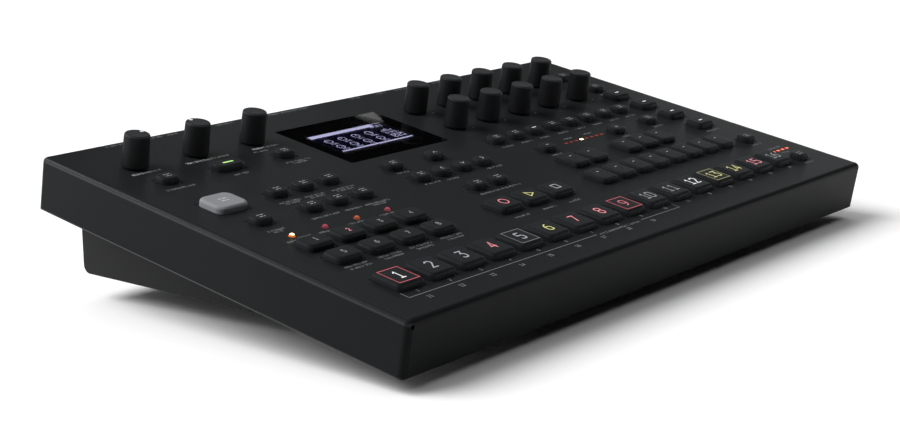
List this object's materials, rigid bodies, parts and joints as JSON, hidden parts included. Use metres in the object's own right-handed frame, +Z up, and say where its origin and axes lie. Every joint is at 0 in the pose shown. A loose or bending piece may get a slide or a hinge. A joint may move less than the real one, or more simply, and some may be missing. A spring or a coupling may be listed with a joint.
{
  "type": "analog synthesizer",
  "caption": "Low desktop synthesizer: tilted black steel panel of lit bevelled keys, dials, buttons and a small screen over a wedge base with rear jacks.",
  "frame": {"origin": "bottom centre of the bounding box, on the desk", "axes": "+X to the right, +Y to the rear, +Z up; the panel faces up and tilts towards -Y"},
  "size_m": [0.385, 0.2228, 0.082],
  "materials": {
    "black_steel": "satin black powder coat",
    "connector_plate": "satin black coat",
    "key_black": "fine matt black",
    "key_grey": "fine matt grey",
    "dial_black": "satin black",
    "window_pane": "gloss, smoked",
    "display": "black frame round a display glass",
    "circuit_board": "solder mask",
    "switch_housing": "moulded",
    "control_metal": "zinc plate",
    "lamp": "clear tinted",
    "jack_black": "moulded",
    "socket_black": "moulded",
    "socket_steel": "bright plate",
    "foot_rubber": "matt",
    "screw_steel": "black oxide"
  },
  "bodies": {
    "case": {"top_panel": "black_steel", "bottom_chassis": "black_steel", "rear_panel": "connector_plate", "screen_window": "window_pane", "display_module": "display", "control_board": "circuit_board", "key_switches": "switch_housing", "encoders": "control_metal", "potentiometers": "control_metal", "indicator_lamps": "lamp", "main_board": "circuit_board", "audio_jacks": "jack_black", "midi_sockets": "socket_black", "usb_socket": "socket_steel", "power_inlet": "socket_black", "power_switch": "socket_black", "rubber_feet": "foot_rubber", "case_screws": "screw_steel"},
    "step_key_01": {"step_key_01": "key_black"},
    "step_key_02": {"step_key_02": "key_black"},
    "step_key_03": {"step_key_03": "key_black"},
    "step_key_04": {"step_key_04": "key_black"},
    "step_key_05": {"step_key_05": "key_black"},
    "step_key_06": {"step_key_06": "key_black"},
    "step_key_07": {"step_key_07": "key_black"},
    "step_key_08": {"step_key_08": "key_black"},
    "step_key_09": {"step_key_09": "key_black"},
    "step_key_10": {"step_key_10": "key_black"},
    "step_key_11": {"step_key_11": "key_black"},
    "step_key_12": {"step_key_12": "key_black"},
    "step_key_13": {"step_key_13": "key_black"},
    "step_key_14": {"step_key_14": "key_black"},
    "step_key_15": {"step_key_15": "key_black"},
    "step_key_16": {"step_key_16": "key_black"},
    "record_key": {"record_key": "key_black"},
    "play_key": {"play_key": "key_black"},
    "stop_key": {"stop_key": "key_black"},
    "function_key": {"function_key": "key_grey"},
    "track_keys": {"track_keys": "key_black"},
    "page_keys": {"page_keys": "key_black"},
    "sound_keys": {"sound_keys": "key_black"},
    "note_keys": {"note_keys": "key_black"},
    "parameter_buttons": {"parameter_buttons": "key_black"},
    "menu_buttons": {"menu_buttons": "key_black"},
    "left_buttons": {"left_buttons": "key_black"},
    "right_buttons": {"right_buttons": "key_black"},
    "volume_dial": {"volume_dial": "dial_black"},
    "performance_dial": {"performance_dial": "dial_black"},
    "level_dial": {"level_dial": "dial_black"},
    "data_dial_a": {"data_dial_a": "dial_black"},
    "data_dial_b": {"data_dial_b": "dial_black"},
    "data_dial_c": {"data_dial_c": "dial_black"},
    "data_dial_d": {"data_dial_d": "dial_black"},
    "data_dial_e": {"data_dial_e": "dial_black"},
    "data_dial_f": {"data_dial_f": "dial_black"},
    "data_dial_g": {"data_dial_g": "dial_black"},
    "data_dial_h": {"data_dial_h": "dial_black"},
    "data_dial_i": {"data_dial_i": "dial_black"},
    "data_dial_j": {"data_dial_j": "dial_black"},
    "power_button": {"power_button": "key_black"}
  },
  "joints": [
    {"name": "step_key_01_press", "type": "slide", "parent": "case", "child": "step_key_01", "axis": [0, 0.1805, -0.9836], "range_m": [0, 0.0009], "stiffness_N_per_m": 600, "springref_m": -0.001},
    {"name": "step_key_02_press", "type": "slide", "parent": "case", "child": "step_key_02", "axis": [0, 0.1805, -0.9836], "range_m": [0, 0.0009], "stiffness_N_per_m": 600, "springref_m": -0.001},
    {"name": "step_key_03_press", "type": "slide", "parent": "case", "child": "step_key_03", "axis": [0, 0.1805, -0.9836], "range_m": [0, 0.0009], "stiffness_N_per_m": 600, "springref_m": -0.001},
    {"name": "step_key_04_press", "type": "slide", "parent": "case", "child": "step_key_04", "axis": [0, 0.1805, -0.9836], "range_m": [0, 0.0009], "stiffness_N_per_m": 600, "springref_m": -0.001},
    {"name": "step_key_05_press", "type": "slide", "parent": "case", "child": "step_key_05", "axis": [0, 0.1805, -0.9836], "range_m": [0, 0.0009], "stiffness_N_per_m": 600, "springref_m": -0.001},
    {"name": "step_key_06_press", "type": "slide", "parent": "case", "child": "step_key_06", "axis": [0, 0.1805, -0.9836], "range_m": [0, 0.0009], "stiffness_N_per_m": 600, "springref_m": -0.001},
    {"name": "step_key_07_press", "type": "slide", "parent": "case", "child": "step_key_07", "axis": [0, 0.1805, -0.9836], "range_m": [0, 0.0009], "stiffness_N_per_m": 600, "springref_m": -0.001},
    {"name": "step_key_08_press", "type": "slide", "parent": "case", "child": "step_key_08", "axis": [0, 0.1805, -0.9836], "range_m": [0, 0.0009], "stiffness_N_per_m": 600, "springref_m": -0.001},
    {"name": "step_key_09_press", "type": "slide", "parent": "case", "child": "step_key_09", "axis": [0, 0.1805, -0.9836], "range_m": [0, 0.0009], "stiffness_N_per_m": 600, "springref_m": -0.001},
    {"name": "step_key_10_press", "type": "slide", "parent": "case", "child": "step_key_10", "axis": [0, 0.1805, -0.9836], "range_m": [0, 0.0009], "stiffness_N_per_m": 600, "springref_m": -0.001},
    {"name": "step_key_11_press", "type": "slide", "parent": "case", "child": "step_key_11", "axis": [0, 0.1805, -0.9836], "range_m": [0, 0.0009], "stiffness_N_per_m": 600, "springref_m": -0.001},
    {"name": "step_key_12_press", "type": "slide", "parent": "case", "child": "step_key_12", "axis": [0, 0.1805, -0.9836], "range_m": [0, 0.0009], "stiffness_N_per_m": 600, "springref_m": -0.001},
    {"name": "step_key_13_press", "type": "slide", "parent": "case", "child": "step_key_13", "axis": [0, 0.1805, -0.9836], "range_m": [0, 0.0009], "stiffness_N_per_m": 600, "springref_m": -0.001},
    {"name": "step_key_14_press", "type": "slide", "parent": "case", "child": "step_key_14", "axis": [0, 0.1805, -0.9836], "range_m": [0, 0.0009], "stiffness_N_per_m": 600, "springref_m": -0.001},
    {"name": "step_key_15_press", "type": "slide", "parent": "case", "child": "step_key_15", "axis": [0, 0.1805, -0.9836], "range_m": [0, 0.0009], "stiffness_N_per_m": 600, "springref_m": -0.001},
    {"name": "step_key_16_press", "type": "slide", "parent": "case", "child": "step_key_16", "axis": [0, 0.1805, -0.9836], "range_m": [0, 0.0009], "stiffness_N_per_m": 600, "springref_m": -0.001},
    {"name": "record_key_press", "type": "slide", "parent": "case", "child": "record_key", "axis": [0, 0.1805, -0.9836], "range_m": [0, 0.0009], "stiffness_N_per_m": 600, "springref_m": -0.001},
    {"name": "play_key_press", "type": "slide", "parent": "case", "child": "play_key", "axis": [0, 0.1805, -0.9836], "range_m": [0, 0.0009], "stiffness_N_per_m": 600, "springref_m": -0.001},
    {"name": "stop_key_press", "type": "slide", "parent": "case", "child": "stop_key", "axis": [0, 0.1805, -0.9836], "range_m": [0, 0.0009], "stiffness_N_per_m": 600, "springref_m": -0.001},
    {"name": "function_key_press", "type": "slide", "parent": "case", "child": "function_key", "axis": [0, 0.1805, -0.9836], "range_m": [0, 0.0009], "stiffness_N_per_m": 600, "springref_m": -0.001},
    {"name": "track_keys_press", "type": "slide", "parent": "case", "child": "track_keys", "axis": [0, 0.1805, -0.9836], "range_m": [0, 0.0009], "stiffness_N_per_m": 600, "springref_m": -0.001},
    {"name": "page_keys_press", "type": "slide", "parent": "case", "child": "page_keys", "axis": [0, 0.1805, -0.9836], "range_m": [0, 0.0009], "stiffness_N_per_m": 600, "springref_m": -0.001},
    {"name": "sound_keys_press", "type": "slide", "parent": "case", "child": "sound_keys", "axis": [0, 0.1805, -0.9836], "range_m": [0, 0.0009], "stiffness_N_per_m": 600, "springref_m": -0.001},
    {"name": "note_keys_press", "type": "slide", "parent": "case", "child": "note_keys", "axis": [0, 0.1805, -0.9836], "range_m": [0, 0.0009], "stiffness_N_per_m": 600, "springref_m": -0.001},
    {"name": "parameter_buttons_press", "type": "slide", "parent": "case", "child": "parameter_buttons", "axis": [0, 0.1805, -0.9836], "range_m": [0, 0.0009], "stiffness_N_per_m": 600, "springref_m": -0.001},
    {"name": "menu_buttons_press", "type": "slide", "parent": "case", "child": "menu_buttons", "axis": [0, 0.1805, -0.9836], "range_m": [0, 0.0009], "stiffness_N_per_m": 600, "springref_m": -0.001},
    {"name": "left_buttons_press", "type": "slide", "parent": "case", "child": "left_buttons", "axis": [0, 0.1805, -0.9836], "range_m": [0, 0.0009], "stiffness_N_per_m": 600, "springref_m": -0.001},
    {"name": "right_buttons_press", "type": "slide", "parent": "case", "child": "right_buttons", "axis": [0, 0.1805, -0.9836], "range_m": [0, 0.0009], "stiffness_N_per_m": 600, "springref_m": -0.001},
    {"name": "volume_dial_turn", "type": "hinge", "parent": "case", "child": "volume_dial", "pos_m": [-0.1653, 0.07207, 0.06505], "axis": [0, -0.1805, 0.9836], "range_deg": [-84.3, 215.7]},
    {"name": "performance_dial_turn", "type": "hinge", "parent": "case", "child": "performance_dial", "pos_m": [-0.1279, 0.07207, 0.06505], "axis": [0, -0.1805, 0.9836], "range_deg": [-158, 142]},
    {"name": "level_dial_turn", "type": "hinge", "parent": "case", "child": "level_dial", "pos_m": [-0.0905, 0.07207, 0.06505], "axis": [0, -0.1805, 0.9836], "continuous": true},
    {"name": "data_dial_a_turn", "type": "hinge", "parent": "case", "child": "data_dial_a", "pos_m": [0.0273, 0.0673, 0.06417], "axis": [0, -0.1805, 0.9836], "continuous": true},
    {"name": "data_dial_b_turn", "type": "hinge", "parent": "case", "child": "data_dial_b", "pos_m": [0.05515, 0.0673, 0.06417], "axis": [0, -0.1805, 0.9836], "continuous": true},
    {"name": "data_dial_c_turn", "type": "hinge", "parent": "case", "child": "data_dial_c", "pos_m": [0.083, 0.0673, 0.06417], "axis": [0, -0.1805, 0.9836], "continuous": true},
    {"name": "data_dial_d_turn", "type": "hinge", "parent": "case", "child": "data_dial_d", "pos_m": [0.11085, 0.0673, 0.06417], "axis": [0, -0.1805, 0.9836], "continuous": true},
    {"name": "data_dial_e_turn", "type": "hinge", "parent": "case", "child": "data_dial_e", "pos_m": [0.1387, 0.0673, 0.06417], "axis": [0, -0.1805, 0.9836], "continuous": true},
    {"name": "data_dial_f_turn", "type": "hinge", "parent": "case", "child": "data_dial_f", "pos_m": [0.0273, 0.03991, 0.05914], "axis": [0, -0.1805, 0.9836], "continuous": true},
    {"name": "data_dial_g_turn", "type": "hinge", "parent": "case", "child": "data_dial_g", "pos_m": [0.05515, 0.03991, 0.05914], "axis": [0, -0.1805, 0.9836], "continuous": true},
    {"name": "data_dial_h_turn", "type": "hinge", "parent": "case", "child": "data_dial_h", "pos_m": [0.083, 0.03991, 0.05914], "axis": [0, -0.1805, 0.9836], "continuous": true},
    {"name": "data_dial_i_turn", "type": "hinge", "parent": "case", "child": "data_dial_i", "pos_m": [0.11085, 0.03991, 0.05914], "axis": [0, -0.1805, 0.9836], "continuous": true},
    {"name": "data_dial_j_turn", "type": "hinge", "parent": "case", "child": "data_dial_j", "pos_m": [0.1387, 0.03991, 0.05914], "axis": [0, -0.1805, 0.9836], "continuous": true},
    {"name": "power_button_latch", "type": "slide", "parent": "case", "child": "power_button", "axis": [0, 1, 0], "range_m": [0, 0.0025]}
  ]
}
